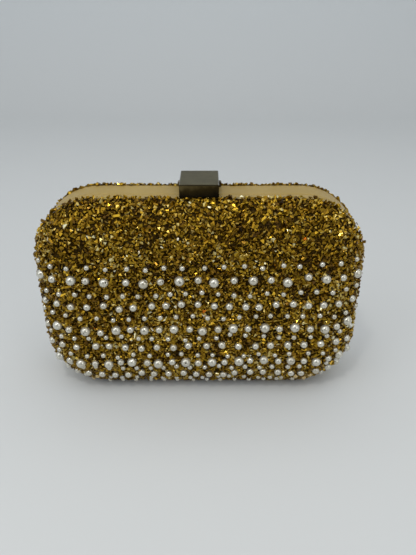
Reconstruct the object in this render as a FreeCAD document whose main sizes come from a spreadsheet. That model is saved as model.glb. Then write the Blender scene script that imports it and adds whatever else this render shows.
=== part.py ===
import FreeCAD, Part

import math
import os

import Sketcher
from FreeCAD import Vector

# A hard-case evening bag: two pillowed half shells on thin metal rims, hinged
# along the bottom and held shut by a lift-up clasp block on top.
# Millimetres. +Z is up, -Y is the front, and the origin is on the surface the
# bag stands on, under the middle of its rims.

DIMENSIONS = {
    # outline of the beaded surface, seen from the front
    "bag_width": 195.0,
    "bag_height": 129.0,
    "foot_trim": 0.3,          # worn flat along the bottom, so that the bag stands
    "corner_radius": 38.0,
    "pillow_inset": 27.0,      # how far the rounded edge reaches in from the outline
    "pillow_depth": 15.5,      # how far each face stands out from the rims
    "pillow_wall": 0.5,        # straight stretch between a rim and the rounded edge
    "rim_width": 22.0,         # both rims together, between the beaded faces
    "split_front": -4.65,      # where the front rim ends
    "split_rear": -4.35,       # where the rear rim starts
    "frame_depth": 8.35,       # rear frame, front to back
    # insets of each layer's two faces from the beaded surface
    "cover_inner": 2.2,
    "band_outer": 1.2,
    "shell_outer": 2.25,
    "shell_inner": 3.85,
    "lining_outer": 3.9,
    "lining_inner": 5.1,
    "frame_inner": 5.3,
    "layer_gap": 0.05,
    # bottom hinges
    "hinge_x": 36.0,
    "hinge_half": 9.0,
    "hinge_y": -4.5,
    "hinge_z": 1.1,
    "knuckle_half": 2.9,
    "knuckle_step": 3.1,
    "knuckle_radius": 1.05,
    "hinge_pin_radius": 0.4,
    "leaf_thick": 0.8,
    "leaf_floor": 5.05,
    "leaf_rear_end": 3.4,
    "leaf_front_end": -10.6,
    "notch_side": 0.4,
    "notch_half": 1.6,
    "hinge_rivet_x": 5.6,
    "hinge_rivet_rear_y": 0.4,
    "hinge_rivet_front_y": -8.4,
    # clasp
    "block_half": 11.15,
    "block_front": -13.6,
    "block_back": 12.8,
    "block_top": 136.5,
    "block_floor": 129.3,
    "skirt_floor": 128.1,
    "skirt_front": -10.8,
    "skirt_back": 7.4,
    "heel_y": 10.2,
    "heel_top": 133.0,
    "block_wall": 1.5,
    "block_round": 0.7,
    "pivot_y": 9.6,
    "pivot_z": 130.0,
    "pivot_radius": 0.7,
    "pivot_half": 13.0,
    "ear_inner": 11.4,
    "ear_thick": 1.2,
    "ear_radius": 1.4,
    "plate_floor": 127.85,
    "plate_thick": 0.8,
    "bracket_half": 9.0,
    "bracket_front": -3.9,
    "bracket_back": 10.9,
    "catch_half": 8.5,
    "catch_front": -10.6,
    "catch_back": -5.0,
    "ridge_y": -8.1,
    "ridge_thick": 1.0,
    "ridge_half": 4.0,
    "ridge_top": 129.2,
    "tongue_half": 4.0,
    "tongue_y": -9.8,
    "tongue_thick": 0.8,
    "tongue_floor": 130.0,
    "tongue_foot_radius": 0.6,
    "tongue_back": -3.0,
    "tongue_rivet_y": -5.4,
    # rivets
    "rivet_radius": 0.8,
    "rivet_head_radius": 1.5,
    "rivet_head_thick": 0.4,
    "pin_clearance": 0.05,
    "bracket_rivet_x": 6.4,
    "bracket_rivet_y": 1.2,
    "catch_rivet_x": 6.4,
    "catch_rivet_y": -7.4,
    "rim_rivet_end": 122.9,
    "hinge_rivet_end": 3.6,
}

doc = FreeCAD.newDocument("evening_bag")
sheet = doc.addObject("Spreadsheet::Sheet", "Dims")
for row, (alias, number) in enumerate(DIMENSIONS.items(), start=1):
    sheet.set(f"A{row}", alias)
    sheet.set(f"B{row}", str(number))
    sheet.setAlias(f"B{row}", alias)
doc.recompute()

FRONT, REAR = -1, 1
nodes = []


def size(alias):
    """The number that the sheet holds for an alias."""
    return float(sheet.get(alias))


def bind(thing, **expressions):
    """Bind properties to expressions; d. stands for the sheet, __ for a dot."""
    for path, expression in expressions.items():
        thing.setExpression(path.replace("__", "."), str(expression).replace("d.", "Dims."))
    return thing


def node(thing, label):
    """Give a finished sub-part the name it is written under."""
    thing.Label = label
    nodes.append(thing)
    return thing


# ---- building blocks -------------------------------------------------------

def box(name, x0, x1, y0, y1, z0, z1):
    """A box between two corners, each coordinate an expression."""
    block = doc.addObject("Part::Box", name)
    bind(block, Length=f"({x1}) - ({x0})", Width=f"({y1}) - ({y0})", Height=f"({z1}) - ({z0})")
    return bind(block, Placement__Base__x=x0, Placement__Base__y=y0, Placement__Base__z=z0)


def upright_rod(name, radius, x, y, z0, z1):
    """A cylinder along Z."""
    rod = doc.addObject("Part::Cylinder", name)
    bind(rod, Radius=radius, Height=f"({z1}) - ({z0})")
    return bind(rod, Placement__Base__x=x, Placement__Base__y=y, Placement__Base__z=z0)


def cross_rod(name, radius, x0, x1, y, z):
    """A cylinder along X."""
    rod = doc.addObject("Part::Cylinder", name)
    rod.Placement = FreeCAD.Placement(Vector(), FreeCAD.Rotation(Vector(0, 1, 0), 90))
    bind(rod, Radius=radius, Height=f"({x1}) - ({x0})")
    return bind(rod, Placement__Base__x=x0, Placement__Base__y=y, Placement__Base__z=z)


def fuse(name, pieces):
    """One solid made of touching pieces."""
    union = doc.addObject("Part::MultiFuse", name)
    union.Shapes = pieces
    union.Refine = True
    return union


def group(name, pieces):
    """Separate solids that share one node."""
    compound = doc.addObject("Part::Compound", name)
    compound.Links = pieces
    return compound


def cut(name, base, tools):
    """A piece with its notches and holes taken out."""
    result = doc.addObject("Part::Cut", name)
    result.Base = base
    result.Tool = tools[0] if len(tools) == 1 else group(name + "_tools", tools)
    return result


# ---- pillowed layers -------------------------------------------------------

def pillow(inset):
    """The solid inside a pillowed half's surface at an inset, open end at -Y."""
    core_x = size("bag_width") / 2 - size("corner_radius")
    core_z = (size("bag_height") + size("foot_trim")) / 2 - size("corner_radius")
    middle_z = (size("bag_height") - size("foot_trim")) / 2
    rim = size("rim_width") / 2
    wall = size("corner_radius") - inset
    face = rim + size("pillow_depth") - inset
    open_end = -rim
    crown = size("corner_radius") - size("pillow_inset")
    reach = size("pillow_inset") - inset
    wall_end = rim + size("pillow_wall")
    rise = face - wall_end
    radius = (reach ** 2 + rise ** 2) / (2 * rise)

    def profile():
        bend = Part.Circle(Vector(crown, face - radius, 0), Vector(0, 0, 1), radius)
        shoulder = bend.toShape(math.acos(reach / radius), math.pi / 2)
        corners = [Vector(crown, face, 0), Vector(0, face, 0), Vector(0, open_end, 0),
                   Vector(wall, open_end, 0), Vector(wall, wall_end, 0)]
        walls = [Part.makeLine(a, b) for a, b in zip(corners, corners[1:])]
        return Part.Face(Part.Wire(Part.__sortEdges__([shoulder] + walls)))

    centres = [Vector(core_x, 0, core_z), Vector(-core_x, 0, core_z),
               Vector(-core_x, 0, -core_z), Vector(core_x, 0, -core_z)]
    axis = Vector(0, -1, 0)
    pieces = []
    for turn, centre in enumerate(centres):
        here = profile().rotate(Vector(), axis, 90 * turn).translate(centre)
        pieces.append(here.revolve(centre, axis, 90))
        onward = profile().rotate(Vector(), axis, 90 * (turn + 1)).translate(centre)
        pieces.append(onward.extrude(centres[(turn + 1) % 4] - centre))
    core = Part.makeBox(2 * core_x, face - open_end, 2 * core_z,
                        Vector(-core_x, open_end, -core_z))
    solid = core.multiFuse(pieces).removeSplitter().Solids[0]
    solid.translate(Vector(0, 0, middle_z))
    return solid


def layer(name, side, outer, inner, start):
    """One skin of a half, from a distance outside the rims' middle to its face."""
    margin = 10.0
    skin = pillow(size(outer) if outer else 0.0).cut(pillow(size(inner)))
    past = Part.makeBox(size("bag_width") + margin, margin * 10, size("bag_height") + margin,
                        Vector(-(size("bag_width") + margin) / 2, start - margin * 10, -margin / 2))
    under = Part.makeBox(size("bag_width") + margin, margin * 10, margin,
                         Vector(-(size("bag_width") + margin) / 2, -margin * 5, -margin))
    skin = skin.cut(past).cut(under)
    if side == FRONT:
        skin = skin.mirror(Vector(), Vector(0, 1, 0))
    feature = doc.addObject("Part::Feature", name)
    feature.Shape = skin.Solids[0]
    return feature


# ---- rings -----------------------------------------------------------------

def rounded_rectangle(sketch, inset):
    """A closed outline that follows the bag's at an inset, bound to the sheet."""
    half = size("bag_width") / 2 - size(inset)
    low = size(inset) - size("foot_trim")
    high = size("bag_height") - size(inset)
    radius = size("corner_radius") - size(inset)
    x_in, z_low, z_high = half - radius, low + radius, high - radius
    lines = [((-x_in, high), (x_in, high)), ((half, z_high), (half, z_low)),
             ((x_in, low), (-x_in, low)), ((-half, z_low), (-half, z_high))]
    first = sketch.GeometryCount
    for start, end in lines:
        sketch.addGeometry(Part.LineSegment(Vector(*start, 0), Vector(*end, 0)), False)
    quarter = math.pi / 2
    arcs = [((x_in, z_high), 0), ((x_in, z_low), 3), ((-x_in, z_low), 2), ((-x_in, z_high), 1)]
    for centre, turn in arcs:
        circle = Part.Circle(Vector(*centre, 0), Vector(0, 0, 1), radius)
        arc = Part.ArcOfCircle(circle, quarter * turn, quarter * (turn + 1))
        sketch.addGeometry(arc, False)
    rule = Sketcher.Constraint
    for side in range(4):
        line, arc, following = first + side, first + 4 + side, first + (side + 1) % 4
        sketch.addConstraint(rule("Tangent", line, 2, arc, 2))
        sketch.addConstraint(rule("Tangent", arc, 1, following, 1))
        sketch.addConstraint(rule("Horizontal" if side % 2 == 0 else "Vertical", line))
    for arc in range(first + 4, first + 7):
        sketch.addConstraint(rule("Equal", arc, arc + 1))
    bound = [
        (rule("Radius", first + 4, radius), f"Dims.corner_radius - Dims.{inset}"),
        (rule("DistanceX", -1, 1, first + 1, 1, half), f"Dims.bag_width / 2 - Dims.{inset}"),
        (rule("DistanceX", first + 3, 1, -1, 1, half), f"Dims.bag_width / 2 - Dims.{inset}"),
        (rule("DistanceY", -1, 1, first, 1, high), f"Dims.bag_height - Dims.{inset}"),
        (rule("DistanceY", -1, 1, first + 2, 1, low), f"Dims.{inset} - Dims.foot_trim"),
    ]
    for constraint, expression in bound:
        index = sketch.addConstraint(constraint)
        sketch.setExpression(f"Constraints[{index}]", expression)


def origin_plane(body, role):
    """A body's own origin plane."""
    return next(item for item in body.Origin.OriginFeatures if item.Role == role)


def ring(name, outer, inner, y_low, y_high):
    """A ring of even section that follows the bag's outline."""
    body = doc.addObject("PartDesign::Body", name)
    sketch = body.newObject("Sketcher::SketchObject", name + "_outline")
    sketch.AttachmentSupport = [(origin_plane(body, "XZ_Plane"), "")]
    sketch.MapMode = "FlatFace"
    rounded_rectangle(sketch, outer)
    rounded_rectangle(sketch, inner)
    pad = body.newObject("PartDesign::Pad", name + "_pad")
    pad.Profile = sketch
    bind(pad, Length=f"({y_high}) - ({y_low})")
    body.Tip = pad
    return bind(body, Placement__Base__y=y_high)


# ---- rivets ----------------------------------------------------------------

def rivet(name, x, y, tail, face, head_up=True):
    """A shank from its tail to a face, with a low round head on that face."""
    if head_up:
        head = (face, f"{face} + d.rivet_head_thick")
    else:
        head = (f"{face} - d.rivet_head_thick", face)
    low, high = (tail, face) if head_up else (face, tail)
    shank = upright_rod(name + "_shank", "d.rivet_radius", x, y, low, high)
    button = upright_rod(name + "_head", "d.rivet_head_radius", x, y, *head)
    return fuse(name, [shank, button])


def rivet_hole(name, x, y, low, high):
    """The clearance hole that a rivet's shank passes through."""
    return upright_rod(name, "d.rivet_radius + d.pin_clearance", x, y, low, high)


def hinge_rivet_places(y):
    """The four rivets of one half's two hinge leaves."""
    for side in (-1, 1):
        for end in (-1, 1):
            yield f"{side} * d.hinge_x + {end} * d.hinge_rivet_x", y


def rivet_set(label, places, tail, face):
    """A node of identical rivets, heads up."""
    rivets = [rivet(f"{label}_{i}", x, y, tail, face) for i, (x, y) in enumerate(places)]
    return node(group(label + "_group", rivets), label)


def hole_set(name, places, low, high):
    """Clearance holes at a set of places."""
    return [rivet_hole(f"{name}_{i}", x, y, low, high) for i, (x, y) in enumerate(places)]


rear_hinge_places = list(hinge_rivet_places("d.hinge_rivet_rear_y"))
front_hinge_places = list(hinge_rivet_places("d.hinge_rivet_front_y"))
bracket_places = [(f"{side} * d.bracket_rivet_x", "d.bracket_rivet_y") for side in (-1, 1)]
catch_places = [(f"{side} * d.catch_rivet_x", "d.catch_rivet_y") for side in (-1, 1)]
plate_top = "d.plate_floor + d.plate_thick"
leaf_top = "d.leaf_floor + d.leaf_thick"

# ---- cutting tools shared by the layers --------------------------------------

notches = []
for side in (-1, 1):
    low = f"{side} * d.hinge_x - d.hinge_half - d.notch_side"
    high = f"{side} * d.hinge_x + d.hinge_half + d.notch_side"
    notches.append(box(f"hinge_notch_{side + 1}", low, high, "d.hinge_y - d.notch_half",
                       "d.hinge_y + d.notch_half", "-1", "d.leaf_floor + 0.5"))
bracket_holes = hole_set("bracket_hole", bracket_places, "d.rim_rivet_end - 1", plate_top + " + 1")
catch_holes = hole_set("catch_hole", catch_places, "d.rim_rivet_end - 1", plate_top + " + 1")
rear_hinge_holes = hole_set("rear_hinge_hole", rear_hinge_places, "d.hinge_rivet_end - 0.1",
                            leaf_top + " + 1")
front_hinge_holes = hole_set("front_hinge_hole", front_hinge_places, "d.hinge_rivet_end - 0.1",
                             leaf_top + " + 1")

# ---- the two halves -----------------------------------------------------------

rim_edge = size("rim_width") / 2
rear_frame_end = size("split_rear") + size("frame_depth")
HALVES = {
    "rear": {"side": REAR, "wall": size("split_rear"), "lining": rear_frame_end,
             "ring": ("d.split_rear", "d.rim_width / 2"),
             "frame": ("d.split_rear", "d.split_rear + d.frame_depth"),
             "rim_holes": bracket_holes, "leaf_holes": rear_hinge_holes},
    "front": {"side": FRONT, "wall": -size("split_front"), "lining": rim_edge,
              "ring": ("-d.rim_width / 2", "d.split_front"),
              "frame": ("-d.rim_width / 2", "d.split_front"),
              "rim_holes": catch_holes, "leaf_holes": front_hinge_holes},
}
for half, spec in HALVES.items():
    gap = size("layer_gap")
    cover = layer(f"{half}_cover_skin", spec["side"], None, "cover_inner", rim_edge + gap)
    node(cover, f"{half}_bead_cover")
    shell = layer(f"{half}_shell_skin", spec["side"], "shell_outer", "shell_inner", spec["wall"])
    node(cut(f"{half}_shell_cut", shell, notches + spec["rim_holes"]), f"{half}_shell")
    lining = layer(f"{half}_lining_skin", spec["side"], "lining_outer", "lining_inner",
                   spec["lining"] + gap)
    node(lining, f"{half}_lining")
    band = ring(f"{half}_band_ring", "band_outer", "cover_inner", *spec["ring"])
    node(cut(f"{half}_band_cut", band, notches + spec["rim_holes"]), f"{half}_rim_band")
    frame = ring(f"{half}_frame_ring", "lining_outer", "frame_inner", *spec["frame"])
    tools = notches + spec["rim_holes"] + spec["leaf_holes"]
    node(cut(f"{half}_frame_cut", frame, tools), f"{half}_frame")

# ---- bottom hinges ------------------------------------------------------------


def hinge_leaf(name, side, knuckles, neck, flat, holes):
    """A leaf riveted inside a frame, bent down to its knuckles at the split."""
    middle = f"{side} * d.hinge_x"
    plate = box(name + "_plate", f"{middle} - d.hinge_half", f"{middle} + d.hinge_half",
                *flat, "d.leaf_floor", leaf_top)
    pieces = [plate]
    for count, (start, end) in enumerate(knuckles):
        low, high = f"{middle} + {start}", f"{middle} + {end}"
        pieces.append(box(f"{name}_neck_{count}", low, high, *neck, "d.hinge_z", leaf_top))
        pieces.append(cross_rod(f"{name}_knuckle_{count}", "d.knuckle_radius", low, high,
                                "d.hinge_y", "d.hinge_z"))
    bore = cross_rod(name + "_bore", "d.hinge_pin_radius + d.pin_clearance",
                     f"{middle} - d.hinge_half - 1", f"{middle} + d.hinge_half + 1",
                     "d.hinge_y", "d.hinge_z")
    return cut(name, fuse(name + "_blank", pieces), [bore] + holes)


OUTER_KNUCKLES = [("-d.hinge_half", "-d.knuckle_step"), ("d.knuckle_step", "d.hinge_half")]
MIDDLE_KNUCKLE = [("-d.knuckle_half", "d.knuckle_half")]
rear_leaves, front_leaves, hinge_pins = [], [], []
for index, side in enumerate((-1, 1)):
    pair = slice(2 * index, 2 * index + 2)
    rear_leaves.append(hinge_leaf(
        f"rear_leaf_{index}", side, OUTER_KNUCKLES, ("d.split_rear", "d.split_rear + d.leaf_thick"),
        ("d.split_rear", "d.leaf_rear_end"), rear_hinge_holes[pair]))
    front_leaves.append(hinge_leaf(
        f"front_leaf_{index}", side, MIDDLE_KNUCKLE,
        ("d.split_front - d.leaf_thick", "d.split_front"),
        ("d.leaf_front_end", "d.split_front"), front_hinge_holes[pair]))
    hinge_pins.append(cross_rod(f"hinge_pin_{index}", "d.hinge_pin_radius",
                                f"{side} * d.hinge_x - d.hinge_half",
                                f"{side} * d.hinge_x + d.hinge_half", "d.hinge_y", "d.hinge_z"))
node(group("rear_leaves", rear_leaves), "rear_hinge_leaves")
node(group("front_leaves", front_leaves), "front_hinge_leaves")
node(group("pins", hinge_pins), "hinge_pins")
rivet_set("rear_hinge_rivets", rear_hinge_places, "d.hinge_rivet_end + 0.1", leaf_top)
rivet_set("front_hinge_rivets", front_hinge_places, "d.hinge_rivet_end + 0.1", leaf_top)

# ---- clasp bracket and pin on the rear rim --------------------------------------

bracket_pieces = [
    box("bracket_plate", "-d.bracket_half", "d.bracket_half", "d.bracket_front", "d.bracket_back",
        "d.plate_floor", plate_top),
    box("bracket_bar", "-d.ear_inner - d.ear_thick", "d.ear_inner + d.ear_thick",
        "d.pivot_y - d.ear_radius", "d.bracket_back", "d.plate_floor", plate_top),
]
for side in (-1, 1):
    start = "d.ear_inner" if side == 1 else "-d.ear_inner - d.ear_thick"
    end = f"{start} + d.ear_thick"
    bracket_pieces.append(box(f"ear_web_{side + 1}", start, end, "d.pivot_y - d.ear_radius",
                              "d.pivot_y + d.ear_radius", "d.plate_floor", "d.pivot_z"))
    bracket_pieces.append(cross_rod(f"ear_eye_{side + 1}", "d.ear_radius", start, end,
                                    "d.pivot_y", "d.pivot_z"))
pivot_bore = cross_rod("pivot_bore", "d.pivot_radius + d.pin_clearance",
                       "-d.pivot_half - 1", "d.pivot_half + 1", "d.pivot_y", "d.pivot_z")
bracket = cut("bracket", fuse("bracket_blank", bracket_pieces), [pivot_bore] + bracket_holes)
node(bracket, "clasp_bracket")
node(cross_rod("pivot", "d.pivot_radius", "-d.pivot_half", "d.pivot_half", "d.pivot_y",
               "d.pivot_z"), "clasp_pin")
rivet_set("bracket_rivets", bracket_places, "d.rim_rivet_end", plate_top)

# ---- catch on the front rim -----------------------------------------------------

catch_plate = box("catch_base", "-d.catch_half", "d.catch_half", "d.catch_front", "d.catch_back",
                  "d.plate_floor", plate_top)
ridge = box("catch_ridge", "-d.ridge_half", "d.ridge_half", "d.ridge_y - d.ridge_thick / 2",
            "d.ridge_y + d.ridge_thick / 2", "d.plate_floor", "d.ridge_top")
node(cut("catch", fuse("catch_blank", [catch_plate, ridge]), catch_holes), "catch_plate")
rivet_set("catch_rivets", catch_places, "d.rim_rivet_end", plate_top)

# ---- lift-up clasp block ----------------------------------------------------------


def side_outline(sketch, names):
    """A closed polygon whose corners are pairs of aliases."""
    rule = Sketcher.Constraint
    corners = [Vector(size(across), size(up), 0) for across, up in names]
    count = len(corners)
    for i in range(count):
        sketch.addGeometry(Part.LineSegment(corners[i], corners[(i + 1) % count]), False)
    for i in range(count):
        sketch.addConstraint(rule("Coincident", i, 2, (i + 1) % count, 1))
    for i, (across, up) in enumerate(names):
        index = sketch.addConstraint(rule("DistanceX", -1, 1, i, 1, corners[i].x))
        sketch.setExpression(f"Constraints[{index}]", f"Dims.{across}")
        index = sketch.addConstraint(rule("DistanceY", -1, 1, i, 1, corners[i].y))
        sketch.setExpression(f"Constraints[{index}]", f"Dims.{up}")


block = doc.addObject("PartDesign::Body", "block_body")
outline = block.newObject("Sketcher::SketchObject", "block_side")
outline.AttachmentSupport = [(origin_plane(block, "YZ_Plane"), "")]
outline.MapMode = "FlatFace"
side_outline(outline, [
    ("block_front", "block_floor"), ("skirt_front", "block_floor"),
    ("skirt_front", "skirt_floor"), ("skirt_back", "skirt_floor"),
    ("skirt_back", "block_floor"), ("heel_y", "block_floor"),
    ("block_back", "heel_top"), ("block_back", "block_top"), ("block_front", "block_top")])
block_pad = block.newObject("PartDesign::Pad", "block_pad")
block_pad.Profile = outline
block_pad.Midplane = True
bind(block_pad, Length="2 * d.block_half")
doc.recompute()


def soft_edges(shape):
    """The block's top edges and its upright front and back corners."""
    top, front, back = size("block_top"), size("block_front"), size("block_back")
    wanted = []
    for number, edge in enumerate(shape.Edges, start=1):
        ends = [vertex.Point for vertex in edge.Vertexes]
        on_top = all(abs(end.z - top) < 0.001 for end in ends)
        upright = abs(ends[0].z - ends[1].z) > 1 and abs(ends[0].y - ends[1].y) < 0.001
        on_end = any(abs(ends[0].y - y) < 0.001 for y in (front, back))
        if on_top or (upright and on_end):
            wanted.append(f"Edge{number}")
    return wanted


rounding = block.newObject("PartDesign::Fillet", "block_rounding")
rounding.Base = (block_pad, soft_edges(block_pad.Shape))
bind(rounding, Radius="d.block_round")
block.Tip = rounding
hollow = box("block_hollow", "-d.block_half + d.block_wall", "d.block_half - d.block_wall",
             "d.block_front + d.block_wall", "d.skirt_back", "d.skirt_floor - 1",
             "d.block_top - d.block_wall")
tongue_hole = rivet_hole("tongue_hole", "0", "d.tongue_rivet_y", "d.block_top - 2 * d.block_wall",
                         "d.block_top - d.block_wall / 2")
node(cut("block_cut", block, [hollow, pivot_bore, tongue_hole]), "clasp_block")

roof = "d.block_top - d.block_wall"
tongue = fuse("tongue_blank", [
    box("tongue_plate", "-d.tongue_half", "d.tongue_half", "d.tongue_y", "d.tongue_back",
        f"{roof} - d.tongue_thick - d.layer_gap", f"{roof} - d.layer_gap"),
    box("tongue_blade", "-d.tongue_half", "d.tongue_half", "d.tongue_y",
        "d.tongue_y + d.tongue_thick", "d.tongue_floor", f"{roof} - d.layer_gap"),
    cross_rod("tongue_foot", "d.tongue_foot_radius", "-d.tongue_half", "d.tongue_half",
              "d.tongue_y + d.tongue_thick / 2", "d.tongue_floor")])
node(cut("tongue", tongue, [tongue_hole]), "clasp_tongue")
node(rivet("tongue_fixing", "0", "d.tongue_rivet_y", "d.block_top - d.block_wall / 2 - 0.1",
           f"{roof} - d.tongue_thick - d.layer_gap", head_up=False), "tongue_rivet")

# ---- check and write ----------------------------------------------------------------

doc.recompute()
for thing in doc.Objects:
    if any(flag in thing.State for flag in ("Invalid", "Error")):
        raise RuntimeError(f"{thing.Name} failed: {thing.State}")
for thing in nodes:
    shape = thing.Shape
    if shape.isNull() or not shape.isValid() or not shape.Solids:
        raise RuntimeError(f"{thing.Label} has no valid solid")
    shape.exportStep(f"parts/{thing.Label}.step")
    bounds = shape.BoundBox
    print(f"{thing.Label:20s} {len(shape.Solids)} solids {shape.Volume:9.1f} mm3 "
          f"z {bounds.ZMin:.2f}..{bounds.ZMax:.2f} y {bounds.YMin:.2f}..{bounds.YMax:.2f}")
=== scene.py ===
import math

import bmesh
import bpy
import numpy as np
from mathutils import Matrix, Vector, noise


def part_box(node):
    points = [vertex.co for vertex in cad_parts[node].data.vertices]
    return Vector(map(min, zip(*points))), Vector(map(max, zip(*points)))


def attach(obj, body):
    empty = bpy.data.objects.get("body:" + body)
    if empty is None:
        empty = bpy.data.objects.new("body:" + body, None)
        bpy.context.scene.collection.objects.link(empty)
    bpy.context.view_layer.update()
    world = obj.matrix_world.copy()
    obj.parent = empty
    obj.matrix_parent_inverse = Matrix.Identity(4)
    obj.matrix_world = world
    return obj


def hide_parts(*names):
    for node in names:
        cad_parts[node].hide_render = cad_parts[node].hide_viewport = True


# The looks of a beaded box clutch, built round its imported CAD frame. Metres; the
# bag faces -Y and stands on z = 0, and its hard parts are mirrored about x = 0.

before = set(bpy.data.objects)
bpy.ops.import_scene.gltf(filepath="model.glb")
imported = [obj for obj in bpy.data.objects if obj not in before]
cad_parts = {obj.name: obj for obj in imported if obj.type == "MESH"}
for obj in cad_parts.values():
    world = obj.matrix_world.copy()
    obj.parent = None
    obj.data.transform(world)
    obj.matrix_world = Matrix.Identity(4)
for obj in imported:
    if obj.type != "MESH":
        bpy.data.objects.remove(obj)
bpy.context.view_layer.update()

# ---- the pillowed surface ---------------------------------------------------------
# The beaded surface of each half is a rounded rectangle seen from the front. Its edge
# is a short straight wall at the rim and then a circular arc up to the flat face.
# The box comes from the frame, the other sizes are the design's own.

COVER_LOW, COVER_HIGH = (Vector(corner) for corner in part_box("front_bead_cover"))
CORNER_RADIUS = 0.038
PILLOW_INSET = 0.027
PILLOW_WALL = 0.0005
FOOT_TRIM = 0.0003
HALF_WIDTH = COVER_HIGH.x
HALF_HEIGHT = (COVER_HIGH.z + FOOT_TRIM) / 2
MIDDLE_Z = COVER_HIGH.z - HALF_HEIGHT
RIM = -COVER_HIGH.y
PILLOW_DEPTH = -COVER_LOW.y - RIM
CORE_X = HALF_WIDTH - CORNER_RADIUS
CORE_Z = HALF_HEIGHT - CORNER_RADIUS
PERIMETER = 4 * CORE_X + 4 * CORE_Z + 2 * math.pi * CORNER_RADIUS
FRONT, REAR = -1.0, 1.0
HALVES = {"front": FRONT, "rear": REAR}


def inset_of(x, z):
    """How far points lie inside the bag's outline."""
    away_x = np.abs(x) - CORE_X
    away_z = np.abs(z - MIDDLE_Z) - CORE_Z
    outside = np.hypot(np.maximum(away_x, 0), np.maximum(away_z, 0))
    return CORNER_RADIUS - outside - np.minimum(np.maximum(away_x, away_z), 0)


def edge_arc(layer=0.0):
    """The radius of a layer's rounded edge, and its height over the wall."""
    reach, rise = PILLOW_INSET - layer, PILLOW_DEPTH - layer - PILLOW_WALL
    return (reach ** 2 + rise ** 2) / (2 * rise), rise


def stand_out(inset, layer=0.0):
    """How far a layer's surface stands in front of the rims at an inset."""
    radius, rise = edge_arc(layer)
    short = np.clip(PILLOW_INSET - inset, 0, PILLOW_INSET - layer)
    return PILLOW_WALL + np.sqrt(radius ** 2 - short ** 2) - (radius - rise)


def surface_points(x, z, side):
    """Points of the beaded surface over (x, z)."""
    return np.stack([x, side * (RIM + stand_out(inset_of(x, z))), z], axis=-1)


def surface_normals(x, z, side):
    """Outward normals of the beaded surface over (x, z)."""
    step = 1e-5
    inset = inset_of(x, z)
    grow_x = (inset_of(x + step, z) - inset_of(x - step, z)) / (2 * step)
    grow_z = (inset_of(x, z + step) - inset_of(x, z - step)) / (2 * step)
    radius, _ = edge_arc()
    lean = np.arcsin(np.clip(PILLOW_INSET - inset, 0, PILLOW_INSET) / radius)
    flat = side * np.cos(lean)
    normal = np.stack([-grow_x * np.sin(lean), flat, -grow_z * np.sin(lean)], axis=-1)
    return normal / np.linalg.norm(normal, axis=-1, keepdims=True)


def outline_point(along, inset):
    """Points on the outline moved in by inset. along runs clockwise from the top left,
    seen from the front, and is measured at inset 0."""
    quarter = CORNER_RADIUS * math.pi / 2
    lengths = [2 * CORE_X, quarter, 2 * CORE_Z, quarter] * 2
    starts = np.concatenate([[0], np.cumsum(lengths)])
    along = np.mod(along, starts[-1])
    stretch = np.clip(np.searchsorted(starts, along, side="right") - 1, 0, 7)
    rest = along - starts[stretch]
    corner = stretch % 2 == 1
    side = stretch // 2
    heading = math.pi / 2 - side * math.pi / 2 - np.where(corner, rest / CORNER_RADIUS, 0.0)
    out_x, out_z = np.cos(heading), np.sin(heading)
    begin_x = np.choose(side, [-CORE_X, CORE_X, CORE_X, -CORE_X])
    begin_z = np.choose(side, [CORE_Z, CORE_Z, -CORE_Z, -CORE_Z])
    pivot_x = np.choose(side, [CORE_X, CORE_X, -CORE_X, -CORE_X])
    pivot_z = np.choose(side, [CORE_Z, -CORE_Z, -CORE_Z, CORE_Z])
    centre_x = np.where(corner, pivot_x, begin_x)
    centre_z = np.where(corner, pivot_z, begin_z)
    run = np.where(corner, 0.0, rest)
    radius = CORNER_RADIUS - inset
    x = centre_x + out_x * radius + run * out_z
    z = centre_z + out_z * radius - run * out_x
    return x, z + MIDDLE_Z, corner


# ---- mesh helpers --------------------------------------------------------------------

def add_piece(name, points, faces, material, smooth=True):
    """A mesh object from points and faces."""
    mesh = bpy.data.meshes.new(name)
    mesh.from_pydata(np.asarray(points).tolist(), [], [list(f) for f in faces])
    mesh.update()
    piece = bpy.data.objects.new(name, mesh)
    bpy.context.scene.collection.objects.link(piece)
    if smooth:
        mesh.shade_smooth()
    mesh.materials.append(material)
    return piece


MERGE_WITHIN = 2e-6


def tidy_mesh(piece):
    """Merges doubled points and turns the faces outwards."""
    work = bmesh.new()
    work.from_mesh(piece.data)
    bmesh.ops.remove_doubles(work, verts=work.verts, dist=MERGE_WITHIN)
    bmesh.ops.recalc_face_normals(work, faces=work.faces)
    work.to_mesh(piece.data)
    work.free()


def loop_quads(loops, count, closed=False):
    """Quads between successive closed loops of equal count."""
    faces = []
    for loop in range(loops if closed else loops - 1):
        here, there = loop * count, (loop + 1) % loops * count
        for i in range(count):
            j = (i + 1) % count
            faces.append((here + i, here + j, there + j, there + i))
    return faces


def set_tone(piece, domain, values):
    """A tone for every face or point of a piece, for its material to read."""
    layer = piece.data.attributes.new("tone", "FLOAT", domain)
    layer.data.foreach_set("value", np.asarray(values, dtype=np.float32))


# ---- materials -----------------------------------------------------------------------

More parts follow.
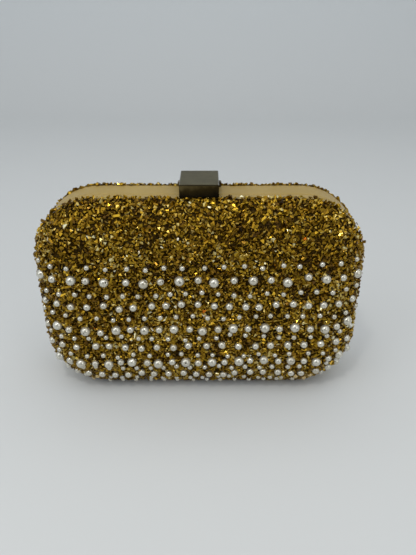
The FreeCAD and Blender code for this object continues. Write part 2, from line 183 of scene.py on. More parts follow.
class Nodes:
    """A material and short calls that add nodes to it."""

    def __init__(self, name):
        self.material = bpy.data.materials.new(name)
        self.material.use_nodes = True
        self.tree = self.material.node_tree
        self.shader = self.tree.nodes["Principled BSDF"]

    def add(self, kind, **settings):
        """A node, with its properties set by name and its inputs by in_NAME."""
        node = self.tree.nodes.new(kind)
        for key, value in settings.items():
            if not key.startswith("in_"):
                setattr(node, key, value)
        for key, value in settings.items():
            if key.startswith("in_"):
                node.inputs[key[3:].replace("_", " ")].default_value = value
        return node

    def link(self, output, target):
        self.tree.links.new(output, target)

    def set(self, **values):
        """Plain numbers and colours on the shader's own sockets."""
        for key, value in values.items():
            self.shader.inputs[key.replace("_", " ")].default_value = value

    def ramp(self, source, stops, interpolation="LINEAR"):
        """A colour ramp of (place, colour) stops."""
        ramp = self.add("ShaderNodeValToRGB")
        ramp.color_ramp.interpolation = interpolation
        while len(ramp.color_ramp.elements) < len(stops):
            ramp.color_ramp.elements.new(0.5)
        for element, (place, colour) in zip(ramp.color_ramp.elements, stops):
            element.position = place
            element.color = colour if len(colour) == 4 else (*colour, 1)
        self.link(source, ramp.inputs["Fac"])
        return ramp.outputs["Color"]

    def remap(self, source, low, high, from_low=0.0, from_high=1.0):
        """A number carried from one range to another."""
        node = self.add("ShaderNodeMapRange", in_From_Min=from_low, in_From_Max=from_high,
                        in_To_Min=low, in_To_Max=high)
        self.link(source, node.inputs["Value"])
        return node.outputs["Result"]

    def mix(self, factor, first, second, blend="MIX"):
        """Two colours mixed. factor is a number or another node's output."""
        node = self.add("ShaderNodeMix", data_type="RGBA", blend_type=blend)
        if isinstance(factor, float):
            node.inputs["Factor"].default_value = factor
        else:
            self.link(factor, node.inputs["Factor"])
        self.link(first, node.inputs["A"])
        self.link(second, node.inputs["B"])
        return node.outputs["Result"]

    def noise(self, scale, detail=3.0, roughness=0.5, vector=None):
        """A noise texture over the object's own coordinates."""
        node = self.add("ShaderNodeTexNoise", in_Scale=scale, in_Detail=detail,
                        in_Roughness=roughness)
        self.link(vector or self.place(), node.inputs["Vector"])
        return node.outputs["Fac"]

    def place(self, scale=(1, 1, 1)):
        """Object coordinates, stretched."""
        coordinates = self.add("ShaderNodeTexCoord")
        stretch = self.add("ShaderNodeMapping", in_Scale=scale)
        self.link(coordinates.outputs["Object"], stretch.inputs["Vector"])
        return stretch.outputs["Vector"]

    def bump(self, height, strength, distance):
        """Bump from a height, on the shader's normal."""
        node = self.add("ShaderNodeBump", in_Strength=strength, in_Distance=distance)
        self.link(height, node.inputs["Height"])
        self.link(node.outputs["Normal"], self.shader.inputs["Normal"])


def crystal_material():
    """Amber and gold cut glass: every facet has a tone of its own, from the near black of a deep
    facet, painted shade, to the champagne of one that flashes, a painted glint."""
    n = Nodes("amber_crystal")
    tone = n.add("ShaderNodeAttribute", attribute_name="tone")
    # Facet tones: amber glass colour plus painted shade and painted glints from facet to facet.
    colour = n.ramp(tone.outputs["Fac"], FACET_TONES_AND_GLINTS)
    streaks = n.noise(900.0, detail=2.0)
    shade = n.ramp(streaks, [(0.3, (0.5, 0.45, 0.4)), (0.7, (1.2, 1.2, 1.15))])
    n.link(n.mix(0.6, colour, shade, "MULTIPLY"), n.shader.inputs["Base Color"])
    n.link(n.remap(streaks, 0.12, 0.3), n.shader.inputs["Roughness"])
    n.set(Metallic=0.8, Specular_IOR_Level=0.45)
    return n.material


def pearl_material():
    """Off-white pearl: a soft body colour under a clear, glossy lustre."""
    n = Nodes("pearl")
    tone = n.add("ShaderNodeAttribute", attribute_name="tone")
    cloudy = n.noise(420.0, detail=2.0)
    body = n.ramp(tone.outputs["Fac"], PEARL_TONES)
    cloud = n.ramp(cloudy, [(0.3, (0.46, 0.41, 0.31)), (0.7, (0.62, 0.61, 0.55))])
    n.link(n.mix(0.35, body, cloud), n.shader.inputs["Base Color"])
    n.link(n.remap(cloudy, 0.10, 0.18), n.shader.inputs["Roughness"])
    n.set(Metallic=0.55, Coat_Weight=1.0, Coat_Roughness=0.04, Coat_IOR=1.8)
    return n.material


def satin_material(name, light, deep, weave_turn=False):
    """Fine satin: a tight weave, a soft sheen and faint handling marks."""
    n = Nodes(name)
    broad = n.noise(35.0, detail=4.0)
    n.link(n.ramp(broad, [(0.3, deep), (0.7, light)]), n.shader.inputs["Base Color"])
    stretch = (400, 2600, 2600) if weave_turn else (2600, 400, 2600)
    threads = n.noise(1.0, detail=2.0, vector=n.place(stretch))
    slubs = n.noise(160.0, detail=5.0, roughness=0.7)
    height = n.add("ShaderNodeMath", operation="ADD")
    n.link(threads, height.inputs[0])
    n.link(slubs, height.inputs[1])
    n.bump(height.outputs["Value"], 0.35, 0.00012)
    n.link(n.remap(slubs, 0.38, 0.62), n.shader.inputs["Roughness"])
    n.set(Sheen_Weight=0.12, Sheen_Roughness=0.4, Specular_IOR_Level=0.35)
    return n.material


def metal_material(name, colour, worn, rough, grain=(60, 1500, 1500), grain_depth=0.00002):
    """Metal with a brushed grain, tarnish in patches and paler worn places."""
    n = Nodes(name)
    patches = n.noise(90.0, detail=5.0, roughness=0.6)
    n.link(n.ramp(patches, [(0.35, colour), (0.75, worn)]), n.shader.inputs["Base Color"])
    lines = n.noise(1.0, detail=3.0, vector=n.place(grain))
    n.bump(lines, 0.4, grain_depth)
    n.link(n.remap(patches, rough * 0.8, rough * 1.35), n.shader.inputs["Roughness"])
    n.set(Metallic=1.0)
    return n.material


def clasp_side_painted_shade(n, low, high):
    """The block's sides: painted shade, near black at the foot, and a painted brown reflection
    towards the top, in patches.
    """
    height = n.add("ShaderNodeSeparateXYZ")
    n.link(n.place(), height.inputs["Vector"])
    rise = n.remap(height.outputs["Z"], 0.0, 1.0, low, high)
    tone = n.add("ShaderNodeMath", operation="MULTIPLY")
    n.link(rise, tone.inputs[0])
    n.link(n.remap(n.noise(70.0, detail=3.0), 0.2, 1.3, 0.3, 0.7), tone.inputs[1])
    # Painted shade and reflection: near black low down to brown high up.
    return n.ramp(tone.outputs["Value"], [
        (0.1, (0.003, 0.002, 0.0005)), (0.5, (0.028, 0.018, 0.004)), (0.85, (0.10, 0.074, 0.028))])


def clasp_edge_shade_and_wear(n, forward):
    """The rounded edges: painted shade, dark along the front, and paler and worn elsewhere."""
    front = n.remap(forward, 0.0, 1.0, -0.5, -0.2)
    # Painted shade along the front edges; worn paler brass on the others.
    return n.ramp(front, [(0.0, (0.02, 0.016, 0.008)), (1.0, (0.14, 0.12, 0.075))])


def clasp_material(low, high):
    """Antique brass block: a matt, handled top, polished sides painted near black as shade, and
    edges between them worn paler and painted dark along the front as shade, told apart by which way
    the block's own surface faces."""
    n = Nodes("antique_brass")
    facing = n.add("ShaderNodeTexCoord")
    split = n.add("ShaderNodeSeparateXYZ")
    n.link(facing.outputs["Normal"], split.inputs["Vector"])
    upward = split.outputs["Z"]
    top = n.remap(upward, 0.0, 1.0, 0.8, 0.97)
    patches = n.noise(140.0, detail=6.0, roughness=0.65)
    lid = n.ramp(patches, [(0.3, (0.096, 0.079, 0.033)), (0.75, (0.156, 0.132, 0.062))])
    # The sides take painted shade in place of the brass colour.
    body = n.mix(top, clasp_side_painted_shade(n, low, high), lid)
    edge = n.ramp(upward, [(0.3, (0, 0, 0)), (0.5, (1, 1, 1)), (0.85, (1, 1, 1)), (0.96, (0, 0, 0))])
    # Edges: painted shade at the front, paler wear elsewhere.
    worn = n.mix(edge, body, clasp_edge_shade_and_wear(n, split.outputs["Y"]))
    n.link(worn, n.shader.inputs["Base Color"])
    n.link(n.remap(top, 0.12, 0.4), n.shader.inputs["Roughness"])
    n.set(Metallic=0.9, Specular_IOR_Level=0.3)
    n.bump(n.noise(1.0, detail=4.0, vector=n.place((200, 2600, 600))), 0.25, 0.00002)
    return n.material


def backing_and_gap_shade_material():
    """The embroidered ground between the beads: dark brown cloth and gold thread, its near black
    also painted shade in the gaps between beads.
    """
    n = Nodes("embroidery_ground")
    fuzz = n.noise(1400.0, detail=4.0, roughness=0.7)
    # Near black at the low end: painted shade between the beads.
    n.link(n.ramp(fuzz, [(0.35, (0.010, 0.005, 0.001)), (0.75, (0.10, 0.055, 0.006))]),
           n.shader.inputs["Base Color"])
    n.bump(fuzz, 1.0, 0.0004)
    n.set(Roughness=0.8, Specular_IOR_Level=0.1)
    return n.material


def shell_material():
    """Moulded shell: grained plastic, hidden except at the hinge notches."""
    n = Nodes("moulded_shell")
    grain = n.noise(700.0, detail=3.0)
    n.link(n.ramp(grain, [(0.3, (0.05, 0.04, 0.03)), (0.7, (0.08, 0.065, 0.05))]),
           n.shader.inputs["Base Color"])
    n.bump(grain, 0.3, 0.00005)
    n.set(Roughness=0.55)
    return n.material


def stage_material():
    """Matt paint, a touch lighter and bluer up the wall."""
    n = Nodes("studio_paint")
    height = n.add("ShaderNodeSeparateXYZ")
    n.link(n.place(), height.inputs["Vector"])
    rise = n.remap(height.outputs["Z"], 0.0, 1.0, 0.0, 0.4)
    n.link(n.ramp(rise, [(0.0, (0.60, 0.61, 0.605)), (1.0, (0.74, 0.78, 0.80))]),
           n.shader.inputs["Base Color"])
    n.bump(n.noise(60.0, detail=3.0), 0.05, 0.001)
    n.set(Roughness=0.7, Specular_IOR_Level=0.2)
    return n.material


# What a tone stands for: glass from deep to flashing, the deep end painted shade and the flashing
# end painted glints, and orange at the very top.
FACET_TONES_AND_GLINTS = [
    (0.0, (0.008, 0.003, 0.0002)),
    (0.2, (0.085, 0.040, 0.001)),
    (0.42, (0.26, 0.145, 0.004)),
    (0.62, (0.45, 0.28, 0.016)),
    (0.80, (0.60, 0.48, 0.17)),
    (0.90, (0.80, 0.75, 0.46)),
    (0.975, (0.95, 0.96, 0.84)),
    (0.99, (0.60, 0.17, 0.008)),
]
# Gold for the odd gilt bead, then cream to white.
PEARL_TONES = [(0.04, (0.60, 0.36, 0.0)), (0.08, (0.40, 0.35, 0.23)), (1.0, (0.61, 0.60, 0.51))]
CRYSTAL = crystal_material()
PEARL = pearl_material()
BAND_SATIN = satin_material("band_satin", (0.365, 0.252, 0.066), (0.305, 0.206, 0.050))
LINING_SATIN = satin_material("lining_satin", (0.44, 0.32, 0.12), (0.37, 0.26, 0.09), True)
FRAME_BRASS = metal_material("frame_brass", (0.42, 0.30, 0.12), (0.62, 0.48, 0.24), 0.28)
RIVET_BRASS = metal_material("rivet_brass", (0.36, 0.26, 0.11), (0.55, 0.42, 0.2), 0.34,
                             (900, 900, 900))
DARK_METAL = metal_material("dark_metal", (0.06, 0.05, 0.035), (0.13, 0.11, 0.08), 0.32)
SPRING_STEEL = metal_material("spring_steel", (0.42, 0.42, 0.42), (0.55, 0.55, 0.54), 0.25)
CLASP_BRASS = clasp_material(*(corner[2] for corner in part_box("clasp_block")))
GROUND_CLOTH_AND_GAP_SHADE = backing_and_gap_shade_material()
SHELL = shell_material()

# ---- pearls ---------------------------------------------------------------------------
# Rows of pearls run level round each half. A row is its height at the middle, the
# sizes that follow each other along it, the pitch, and where its first size falls.

BIG, MEDIUM, SMALL = 0.0030, 0.00228, 0.00164
PEARL_ROWS = [
    (0.0921, (SMALL,), 0.0112, 0.003),
    (0.0832, (BIG, MEDIUM), 0.01055, -0.0115),
    (0.0743, (SMALL,), 0.0095, 0.002),
    (0.0664, (MEDIUM,), 0.0094, -0.001),
    (0.0585, (SMALL,), 0.0095, 0.005),
    (0.0497, (BIG, MEDIUM), 0.0090, -0.0155),
    (0.0438, (SMALL,), 0.0096, 0.000),
    (0.0371, (MEDIUM,), 0.0100, 0.004),
    (0.0309, (SMALL,), 0.0098, -0.002),
    (0.0252, (BIG, MEDIUM), 0.0082, -0.009),
    (0.0206, (SMALL,), 0.0086, 0.003),
    (0.0150, (MEDIUM,), 0.0086, -0.003),
    (0.0098, (SMALL,), 0.0086, 0.002),
    (0.0052, (SMALL,), 0.0092, 0.004),
]
GOLD_BEADS_BELOW, GOLD_SHARE = 0.022, 0.12
ROW_TILT = 0.012
ROW_JITTER = 0.0006
ROW_SWAY = 0.0006
EDGE_MARGIN = 0.0012
PEARL_FLOOR_GAP = 0.0002
PEARL_LIFT = 0.12
PEARL_BORE, BORE_DEPTH = 0.17, 0.55
HOLE_SHOWS = 0.12


def row_path(height, side):
    """A row's line over the surface, and the distance along it from x = 0."""
    above = abs(height - MIDDLE_Z) - CORE_Z
    reach = CORNER_RADIUS if above <= 0 else math.sqrt(CORNER_RADIUS ** 2 - above ** 2)
    half = CORE_X + reach
    x = half * np.sin(np.linspace(-math.pi / 2, math.pi / 2, 2001))
    points = surface_points(x, np.full_like(x, height), side)
    steps = np.linalg.norm(np.diff(points, axis=0), axis=1)
    length = np.concatenate([[0], np.cumsum(steps)])
    return x, length - np.interp(0, x, length)


def pearl_places(side, rng):
    """Each pearl's (x, z) and radius."""
    found = []
    for height, sizes, pitch, first in PEARL_ROWS:
        x_line, length = row_path(height, side)
        lowest = math.ceil((length[0] + EDGE_MARGIN - first) / pitch)
        highest = math.floor((length[-1] - EDGE_MARGIN - first) / pitch)
        for step in range(lowest, highest + 1):
            radius = sizes[step % len(sizes)] * rng.uniform(0.95, 1.05)
            along = first + step * pitch + rng.normal() * ROW_JITTER
            x = float(np.interp(along, length, x_line))
            sway = ROW_SWAY * math.sin(x * 90 + height * 700)
            z = height + ROW_TILT * x * -side + sway + rng.normal() * ROW_JITTER
            if inset_of(x, z) > EDGE_MARGIN and z > radius + 0.001:
                found.append((x, z, radius))
    return np.array(found)


def pearl_shape(segments, rings):
    """A bored sphere of radius 1: the hole runs along Z."""
    tip = math.asin(PEARL_BORE)
    profile = [(PEARL_BORE, 1 - BORE_DEPTH)]
    for ring in range(rings + 1):
        angle = tip + (math.pi - 2 * tip) * ring / rings
        profile.append((math.sin(angle), math.cos(angle)))
    profile.append((PEARL_BORE, BORE_DEPTH - 1))
    turns = np.arange(segments) * 2 * math.pi / segments
    points = [(r * math.cos(t), r * math.sin(t), z) for r, z in profile for t in turns]
    faces = loop_quads(len(profile), segments)
    faces.append(tuple(range(segments)))
    faces.append(tuple(range(len(points) - 1, len(points) - segments - 1, -1)))
    return np.array(points), faces


def turn_to(direction, rng):
    """A rotation that takes Z to a direction, with any spin."""
    direction = direction / np.linalg.norm(direction)
    aside = np.cross(direction, rng.normal(size=3))
    aside /= np.linalg.norm(aside)
    return np.stack([aside, np.cross(direction, aside), direction], axis=1)


def gather(copies):
    """One set of points and faces from (shape, rotation, scale, place) copies, and
    how many points each copy has."""
    points, faces, counts = [], [], []
    start = 0
    for (shape, shape_faces), turn, scale, place in copies:
        points.append((shape * scale) @ turn.T + place)
        faces.extend([tuple(start + k for k in face) for face in shape_faces])
        counts.append(len(shape))
        start += len(shape)
    return np.concatenate(points), faces, counts


def thread_direction(normal, rng):
    """Which way a pearl's thread runs: mostly along the row, at times out of the face."""
    thread = np.array([1.0, 0.0, 0.15]) + rng.normal(size=3) * 0.45
    if rng.random() < HOLE_SHOWS:
        thread = normal + rng.normal(size=3) * 0.25
    return thread


def make_pearls(half, side, rng):
    """One half's pearls, each on its thread. Returns the room that each one takes."""
    fine, mid, coarse = pearl_shape(22, 12), pearl_shape(18, 10), pearl_shape(14, 8)
    places = pearl_places(side, rng)
    out = surface_normals(places[:, 0], places[:, 1], side)
    base = surface_points(places[:, 0], places[:, 1], side)
    copies, tones = [], []
    for (_, z, radius), normal, foot in zip(places, out, base):
        shape = fine if radius > 0.0026 else mid if radius > 0.0018 else coarse
        thread = thread_direction(normal, rng)
        centre = foot + normal * (radius * PEARL_LIFT + rng.uniform(0, 0.0003))
        centre[2] = max(centre[2], radius + PEARL_FLOOR_GAP)
        copies.append((shape, turn_to(thread, rng), radius, centre))
        gilt = z < GOLD_BEADS_BELOW and shape is coarse and rng.random() < GOLD_SHARE
        tones.append(0.0 if gilt else 0.1 + 0.9 * rng.beta(4, 1.6))
    points, faces, counts = gather(copies)
    piece = add_piece(f"{half}_pearls", points, faces, PEARL)
    set_tone(piece, "POINT", np.repeat(tones, counts))
    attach(piece, f"{half}_half")
    return np.column_stack([base + out * 0.0004, places[:, 2]])


# ---- crystal chips ---------------------------------------------------------------------

def hull_shape(rng, count, stretch):
    """A cut chip: the hull of points on a stretched ball, as flat facets."""
    cloud = rng.normal(size=(count, 3))
    cloud /= np.linalg.norm(cloud, axis=1, keepdims=True)
    cloud *= np.array(stretch) * rng.uniform(0.85, 1.1, size=3)
    work = bmesh.new()
    for point in cloud:
        work.verts.new(point.tolist())
    bmesh.ops.convex_hull(work, input=work.verts)
    loose = [vert for vert in work.verts if not vert.link_faces]
    bmesh.ops.delete(work, geom=loose, context="VERTS")
    work.verts.index_update()
    points = np.array([vert.co[:] for vert in work.verts])
    faces = [tuple(vert.index for vert in face.verts) for face in work.faces]
    work.free()
    return points, faces


def bugle_shape(sides, length):
    """A short cut tube bead along X, with bevelled ends."""
    points, faces = [], []
    for x, radius in ((-length, 0.34), (-length * 0.8, 0.48), (length * 0.8, 0.48), (length, 0.34)):
        for i in range(sides):
            angle = 2 * math.pi * i / sides
            points.append((x, radius * math.cos(angle), radius * math.sin(angle)))
    faces = loop_quads(4, sides)
    faces.append(tuple(range(sides)))
    faces.append(tuple(range(4 * sides - 1, 3 * sides - 1, -1)))
    return np.array(points), faces


def edge_lengths():
    """Insets over the rounded edge, and how far along it each one is."""
    inset = PILLOW_INSET * np.linspace(0, 1, 400)
    steps = np.hypot(np.diff(inset), np.diff(stand_out(inset)))
    return inset, np.concatenate([[0], np.cumsum(steps)])


# The rounded edge's area over its length times the outline's, as it narrows inwards.
EDGE_AREA_SHARE = 0.88


def surface_candidates(rng, count):
    """(x, z) places spread evenly over one half's area."""
    inset, length = edge_lengths()
    edge_area = length[-1] * PERIMETER * EDGE_AREA_SHARE
    flat_x, flat_z = HALF_WIDTH - PILLOW_INSET, HALF_HEIGHT - PILLOW_INSET
    flat_count = int(count * 4 * flat_x * flat_z / (4 * flat_x * flat_z + edge_area))
    x = rng.uniform(-flat_x, flat_x, flat_count)
    z = rng.uniform(-flat_z, flat_z, flat_count) + MIDDLE_Z
    flat = inset_of(x, z) >= PILLOW_INSET
    inward = np.interp(rng.uniform(0, length[-1], count - flat_count), length, inset)
    edge_x, edge_z, corner = outline_point(rng.uniform(0, PERIMETER, count - flat_count), inward)
    kept = ~corner | (rng.random(len(inward)) < 1 - inward / CORNER_RADIUS)
    places = np.column_stack([np.concatenate([x[flat], edge_x[kept]]),
                              np.concatenate([z[flat], edge_z[kept]])])
    rng.shuffle(places)
    return places


class Crowd:
    """Keeps placed things from crowding each other."""

    def __init__(self, cell):
        self.cell = cell
        self.cells = {}

    def key(self, point):
        return tuple(int(math.floor(c / self.cell)) for c in point)

    def add(self, point, radius):
        self.cells.setdefault(self.key(point), []).append((*point, radius))

    def fits(self, point, radius):
        """Whether a ball touches none of those placed."""
        a, b, c = self.key(point)
        for i in (a - 1, a, a + 1):
            for j in (b - 1, b, b + 1):
                for k in (c - 1, c, c + 1):
                    for x, y, z, other in self.cells.get((i, j, k), ()):
                        gap = (x - point[0]) ** 2 + (y - point[1]) ** 2 + (z - point[2]) ** 2
                        if gap < (radius + other) ** 2:
                            return False
        return True


CHIP_SIZES = [
    # personal space, half-length range, candidates offered, lift off the surface
    (0.00095, (0.0017, 0.0024), 22000, 0.0),
    (0.00062, (0.0012, 0.0018), 40000, 0.0002),
    (0.00048, (0.0009, 0.0013), 40000, 0.0004),
]
CHIP_LEAN = 0.33
CHIP_SINK = 0.12
CHIP_JITTER = 0.00022
PEARL_ROOM = 0.72
CROWD_CELL = 0.0042
FOOT_CLEAR = 0.0011
FLOOR_GAP = 0.0001
# Chips near the rear rim sit lower, so that they only just show over the band.
RIM_SINK = {FRONT: 0.0, REAR: 0.0009}
RIM_REACH = 0.002
# The share of orange chips, and the share of chips painted bright as glints.
ORANGE_SHARE, PAINTED_GLINT_SHARE = 0.0008, 0.06


def chip_templates(rng):
    """Shards, faceted beads and short tubes, each about 1 in half-length."""
    shards = [hull_shape(rng, 8, (1.0, 0.62, 0.42)) for _ in range(7)]
    plates = [hull_shape(rng, 8, (0.95, 0.8, 0.32)) for _ in range(7)]
    beads = [hull_shape(rng, 13, (0.84, 0.80, 0.70)) for _ in range(16)]
    tubes = [bugle_shape(5, 0.95)] * 2
    return shards + plates + beads + tubes


def facet_tones_and_glints(point, count, rng):
    """The tones of one chip's facets: patches of darker and paler glass, the odd orange chip, bright
    chips as painted glints, and a painted spread of shade and glints from facet to facet.
    """
    place = Vector(point)
    patch = noise.noise(place * 50.0) * 0.14 + noise.noise(place * 170.0) * 0.12
    lot = rng.random()
    if lot < ORANGE_SHARE:
        return np.full(count, 1.0)
    # Painted glints: a share of chips made bright all over; the facet spread paints shade and glints
    # from facet to facet.
    chip = rng.uniform(0.72, 0.9) if lot < PAINTED_GLINT_SHARE else rng.beta(2.0, 2.4) * 0.8
    facets = chip * 0.62 + rng.beta(1.5, 2.1, size=count) * 0.44 + patch + 0.025
    return np.clip(facets, 0.0, 0.98)


def set_chip(point, normal, side, lift, sizes, templates, rng):
    """One chip sewn at a point, as a copy for gather."""
    turn = turn_to(normal + rng.normal(size=3) * CHIP_LEAN, rng)
    size = rng.uniform(*sizes)
    sink = RIM_SINK[side] if abs(point[1]) < RIM + RIM_REACH else 0.0
    centre = point + normal * (lift - sink - size * CHIP_SINK + rng.normal() * CHIP_JITTER)
    template = templates[rng.integers(len(templates))]
    lowest = (template[0] @ turn.T)[:, 2].min() * size
    centre[2] = max(centre[2], FLOOR_GAP - lowest)
    return template, turn, size, centre


def scatter_chips(side, rng, pearls):
    """One half's chips round its pearls, big ones first, and each one's facet tones."""
    templates = chip_templates(rng)
    crowd = Crowd(CROWD_CELL)
    for x, y, z, radius in pearls:
        crowd.add((x, y, z), radius * PEARL_ROOM)
    copies, tones = [], []
    for space, sizes, offered, lift in CHIP_SIZES:
        places = surface_candidates(rng, offered)
        points = surface_points(places[:, 0], places[:, 1], side)
        normals = surface_normals(places[:, 0], places[:, 1], side)
        for point, normal in zip(points, normals):
            if point[2] < FOOT_CLEAR or not crowd.fits(point, space):
                continue
            crowd.add(tuple(point), space)
            copies.append(set_chip(point, normal, side, lift, sizes, templates, rng))
            _, faces = copies[-1][0]
            tones.append(facet_tones_and_glints(point, len(faces), rng))
    return copies, tones


def make_crystals(half, side, rng, pearls):
    """One half's crystal chips, as an upper and a lower piece."""
    copies, tones = scatter_chips(side, rng, pearls)
    upper = np.array([place[2] > MIDDLE_Z for _, _, _, place in copies])
    for part, chosen in (("upper", upper), ("lower", ~upper)):
        points, faces, _ = gather([copy for copy, keep in zip(copies, chosen) if keep])
        piece = add_piece(f"{half}_crystals_{part}", points, faces, CRYSTAL, smooth=False)
        set_tone(piece, "FACE", np.concatenate([t for t, keep in zip(tones, chosen) if keep]))
        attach(piece, f"{half}_half")


# ---- cloth layers -----------------------------------------------------------------------

LONG_STEPS, SHORT_STEPS, CORNER_STEPS = 48, 24, 14
LOOP_COUNT = 2 * (LONG_STEPS + SHORT_STEPS) + 4 * CORNER_STEPS
WALL_STEP = 0.0022
ARC_STEPS, FACE_STEPS = 16, 16
FIRST_FACE_STEP = 0.0025
GROUND_OUTER, GROUND_INNER = 0.0011, 0.0021
LINING_OUTER, LINING_INNER = 0.0039, 0.0052
LINING_PUFF = 0.0004


def even_loop(inset):
    """A loop of LOOP_COUNT points at an inset, in to the middle line."""
    past = max(inset - CORNER_RADIUS, 0.0)
    half_x, half_z = CORE_X - past, CORE_Z - past
    radius = max(CORNER_RADIUS - inset, 0.0)
    ends = [(-half_x, half_z), (half_x, half_z), (half_x, -half_z), (-half_x, -half_z)]
    x, z = [], []
    for side in range(4):
        heading = math.pi / 2 - side * math.pi / 2
        start, end = ends[side], ends[(side + 1) % 4]
        steps = LONG_STEPS if side % 2 == 0 else SHORT_STEPS
        for i in range(steps):
            part = i / steps
            x.append(start[0] + (end[0] - start[0]) * part + math.cos(heading) * radius)
            z.append(start[1] + (end[1] - start[1]) * part + math.sin(heading) * radius)
        for i in range(CORNER_STEPS):
            turn = heading - math.pi / 2 * i / CORNER_STEPS
            x.append(end[0] + math.cos(turn) * radius)
            z.append(end[1] + math.sin(turn) * radius)
    return np.array(x), np.array(z) + MIDDLE_Z


def pillow_loops(layer, side, wall_start, ruck=None):
    """Loops of one skin of a half, from its open edge in to its middle."""
    stages = [(layer, depth) for depth in np.arange(wall_start, RIM - MERGE_WITHIN, WALL_STEP)]
    for inset in np.linspace(layer, PILLOW_INSET, ARC_STEPS):
        stages.append((inset, RIM + stand_out(inset, layer)))
    face = RIM + PILLOW_DEPTH - layer
    for inset in np.linspace(PILLOW_INSET + FIRST_FACE_STEP, CORNER_RADIUS + CORE_Z, FACE_STEPS):
        stages.append((inset, face))
    loops = []
    for inset, depth in stages:
        x, z = even_loop(inset)
        points = np.column_stack([x, np.full_like(x, side * depth), z])
        loops.append(points if ruck is None else ruck(points, side))
    return loops


def skin(name, half, outer_loops, inner_loops, material):
    """A closed skin between an outer and an inner set of loops."""
    loops = outer_loops[::-1] + inner_loops
    points = np.concatenate(loops)
    piece = add_piece(name, points, loop_quads(len(loops), LOOP_COUNT), material)
    tidy_mesh(piece)
    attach(piece, f"{half}_half")
    return piece


def make_ground(half, side):
    """The embroidered cloth that the beads are sewn to, in place of the bead cover."""
    piece = skin(f"{half}_bead_ground", half, pillow_loops(GROUND_OUTER, side, RIM),
                 pillow_loops(GROUND_INNER, side, RIM), GROUND_CLOTH_AND_GAP_SHADE)
    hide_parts(f"{half}_bead_cover")


def lining_ruck(points, side):
    """Soft hollows and fine pulls, as satin over wadding has."""
    shifted = points.copy()
    for i, point in enumerate(points):
        place = Vector(point)
        soft = noise.noise(place * 28.0) * 0.0007 + noise.noise(place * 75.0) * 0.00025
        shifted[i, 1] -= side * (LINING_PUFF + soft)
    return shifted


def make_lining(half, side):
    """Padded satin inside the shell, puffed along the frame."""
    low, high = (Vector(corner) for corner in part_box(f"{half}_lining"))
    start = abs(high.y if side == FRONT else low.y)
    piece = skin(f"{half}_satin_lining", half, pillow_loops(LINING_OUTER, side, start),
                 pillow_loops(LINING_INNER, side, start, lining_ruck), LINING_SATIN)
    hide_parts(f"{half}_lining")


# ---- rim bands ---------------------------------------------------------------------------

BAND_STEPS = 620
BAND_THICK = 0.00098
SPLIT_ROLL, FAR_ROLL = 0.0009, 0.0004
HINGE_X, HINGE_Y, HINGE_REACH, NOTCH_REACH = 0.036, -0.0045, 0.0094, 0.0016
CREASE_DEPTH, CREASE_RISE = 0.00016, 0.00005


def rolled_edge(roll):
    """(inset, distance in from the edge) round a rolled edge, from its side to its face."""
    angles = np.linspace(0, math.pi / 2, 6)
    return [(roll * (1 - math.sin(angle)), roll * (1 - math.cos(angle))) for angle in angles]


def band_section(outer):
    """(inset, share of the way from the split to the far edge, distance past that)."""
    inner = outer + BAND_THICK
    section = [(inner, 0.0, 0.0)]
    section += [(outer + inset, 0.0, edge) for inset, edge in rolled_edge(SPLIT_ROLL)]
    section += [(outer, part, 0.0) for part in np.linspace(0.2, 0.88, 8)]
    section += [(outer + inset, 1.0, -edge) for inset, edge in rolled_edge(FAR_ROLL)[::-1]]
    return section + [(inner, 1.0, 0.0)]


def pull_satin(points):
    """Points moved in and a little out from the bag's middle, as fine pulls in satin."""
    crease = np.array([noise.noise(Vector(point) * 45.0) for point in points]) * CREASE_DEPTH
    crease = np.minimum(crease, CREASE_RISE)
    outward = points - np.array([0.0, 0.0, MIDDLE_Z])
    outward[:, 1] = 0
    outward /= np.linalg.norm(outward, axis=1, keepdims=True)
    return points + outward * crease[:, None]


def make_band(half, side):
    """The satin strip round a rim, rolled over at both edges, cut out for the hinges."""
    low, high = (Vector(corner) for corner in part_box(f"{half}_rim_band"))
    outer = COVER_HIGH.z - high.z
    split_y, far_y = (low.y, high.y) if side == REAR else (high.y, low.y)
    along = np.linspace(0, PERIMETER, BAND_STEPS, endpoint=False)
    x0, z0, _ = outline_point(along, outer)
    at_hinge = (z0 < MIDDLE_Z - CORE_Z) & (np.abs(np.abs(x0) - HINGE_X) < HINGE_REACH)
    near = np.where(at_hinge, HINGE_Y + side * NOTCH_REACH, split_y)
    loops = []
    for inset, part, edge in band_section(outer):
        x, z, _ = outline_point(along, inset)
        loops.append(np.column_stack([x, near + (far_y - near) * part + side * edge, z]))
    faces = loop_quads(len(loops), BAND_STEPS, closed=True)
    points = pull_satin(np.concatenate(loops))
    piece = add_piece(f"{half}_satin_band", points, faces, BAND_SATIN)
    tidy_mesh(piece)
    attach(piece, f"{half}_half")
    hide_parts(f"{half}_rim_band")


# ---- build the halves ------------------------------------------------------------------

SEEDS = {"front": 20, "rear": 21}
for half, side in HALVES.items():
    rng = np.random.default_rng(SEEDS[half])
    pearls = make_pearls(half, side, rng)
    make_crystals(half, side, rng, pearls)
    make_ground(half, side)
    make_lining(half, side)
    make_band(half, side)

# ---- metal parts from the frame -----------------------------------------------------------

METALS = {
    "clasp_block": CLASP_BRASS, "clasp_bracket": DARK_METAL, "clasp_pin": DARK_METAL,
    "catch_plate": FRAME_BRASS, "clasp_tongue": SPRING_STEEL, "tongue_rivet": RIVET_BRASS,
    "rear_frame": FRAME_BRASS, "front_frame": FRAME_BRASS, "hinge_pins": SPRING_STEEL,
    "rear_hinge_leaves": FRAME_BRASS, "front_hinge_leaves": FRAME_BRASS,
    "rear_hinge_rivets": RIVET_BRASS, "front_hinge_rivets": RIVET_BRASS,
    "bracket_rivets": RIVET_BRASS, "catch_rivets": RIVET_BRASS,
}


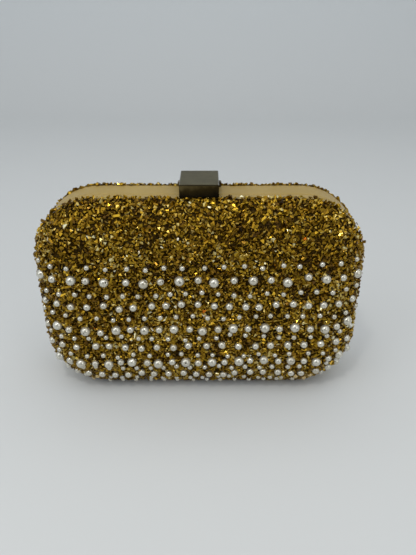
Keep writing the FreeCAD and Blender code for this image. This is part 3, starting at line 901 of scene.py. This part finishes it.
for name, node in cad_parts.items():
    finish = METALS.get(name, SHELL if name.endswith("_shell") else None)
    if finish is not None:
        node.data.materials.clear()
        node.data.materials.append(finish)

# ---- floor, light and camera ---------------------------------------------------------------

def make_stage():
    """A pale floor that curves up into a pale wall behind the bag."""
    back, bend, height, reach = 1.1, 0.35, 1.6, 2.2
    profile = [(-reach, 0.0), (back - bend, 0.0)]
    for step in range(1, 13):
        angle = math.pi / 2 * step / 12
        profile.append((back - bend + bend * math.sin(angle), bend * (1 - math.cos(angle))))
    profile.append((back, height))
    points = [(x, y, z) for y, z in profile for x in (-reach, reach)]
    faces = [(2 * i, 2 * i + 1, 2 * i + 3, 2 * i + 2) for i in range(len(profile) - 1)]
    stage = add_piece("stage", points, faces, stage_material())


def area_light(name, place, target, size, power, colour):
    """A soft rectangular light."""
    data = bpy.data.lights.new(name, "AREA")
    data.shape = "RECTANGLE"
    data.size, data.size_y = size
    data.energy = power
    data.color = colour
    light = bpy.data.objects.new(name, data)
    light.location = place
    light.rotation_euler = (Vector(target) - Vector(place)).to_track_quat("-Z", "Y").to_euler()
    bpy.context.scene.collection.objects.link(light)


make_stage()
area_light("ceiling", (0.0, -0.08, 0.95), (0, 0.0, 0.05), (1.5, 1.1), 3.3, (1.0, 0.99, 0.97))
area_light("window", (-0.8, -0.6, 0.7), (0, 0, 0.07), (0.6, 0.8), 2.2, (0.93, 0.96, 1.0))
area_light("fill", (0.7, -0.8, 0.5), (0, 0, 0.07), (0.5, 0.6), 1.4, (1.0, 0.97, 0.93))
area_light("spark", (-0.12, -0.35, 0.75), (0, 0, 0.07), (0.06, 0.06), 0.8, (1.0, 0.97, 0.9))


SKY_STRENGTH = 0.83
SKY_BY_HEIGHT = [(0.05, (0.48, 0.51, 0.535)), (0.75, (0.80, 0.84, 0.88))]
SKY_BY_DEPTH = [(0.06, (0.45, 0.45, 0.46)), (0.3, (1.0, 1.0, 1.0))]


def sky_ramp(tree, value, shift, stops):
    """The sky's colour along one axis: a ramp over its coordinate plus a shift."""
    ramp = tree.nodes.new("ShaderNodeValToRGB")
    for element, (place, colour) in zip(ramp.color_ramp.elements, stops):
        element.position = place
        element.color = (*colour, 1)
    total = tree.nodes.new("ShaderNodeMath")
    total.operation = "ADD"
    total.inputs[1].default_value = shift
    tree.links.new(value, total.inputs[0])
    tree.links.new(total.outputs["Value"], ramp.inputs["Fac"])
    return ramp.outputs["Color"]


def make_world():
    """Room light: bright overhead, dimmer near the floor and in a patch at the front."""
    world = bpy.data.worlds.new("studio")
    world.use_nodes = True
    tree = world.node_tree
    sight = tree.nodes.new("ShaderNodeTexCoord")
    split = tree.nodes.new("ShaderNodeSeparateXYZ")
    tree.links.new(sight.outputs["Generated"], split.inputs["Vector"])
    mix = tree.nodes.new("ShaderNodeMix")
    mix.data_type = "RGBA"
    mix.blend_type = "MULTIPLY"
    mix.inputs["Factor"].default_value = 1.0
    tree.links.new(sky_ramp(tree, split.outputs["Z"], 0.0, SKY_BY_HEIGHT), mix.inputs["A"])
    tree.links.new(sky_ramp(tree, split.outputs["Y"], 1.0, SKY_BY_DEPTH), mix.inputs["B"])
    background = tree.nodes["Background"]
    tree.links.new(mix.outputs["Result"], background.inputs["Color"])
    background.inputs["Strength"].default_value = SKY_STRENGTH
    bpy.context.scene.world = world


CAMERA_PLACE = (0.005, -0.299, 0.2346)
CAMERA_PITCH = 28.7
CAMERA_LENS = 35.0


def make_camera():
    """A phone held a little above the bag, looking down at it."""
    data = bpy.data.cameras.new("camera")
    data.lens = CAMERA_LENS
    camera = bpy.data.objects.new("camera", data)
    camera.location = CAMERA_PLACE
    camera.rotation_euler = (math.radians(90 - CAMERA_PITCH), 0, 0)
    bpy.context.scene.collection.objects.link(camera)
    bpy.context.scene.camera = camera


make_world()
make_camera()
bpy.context.scene.view_settings.view_transform = "Standard"
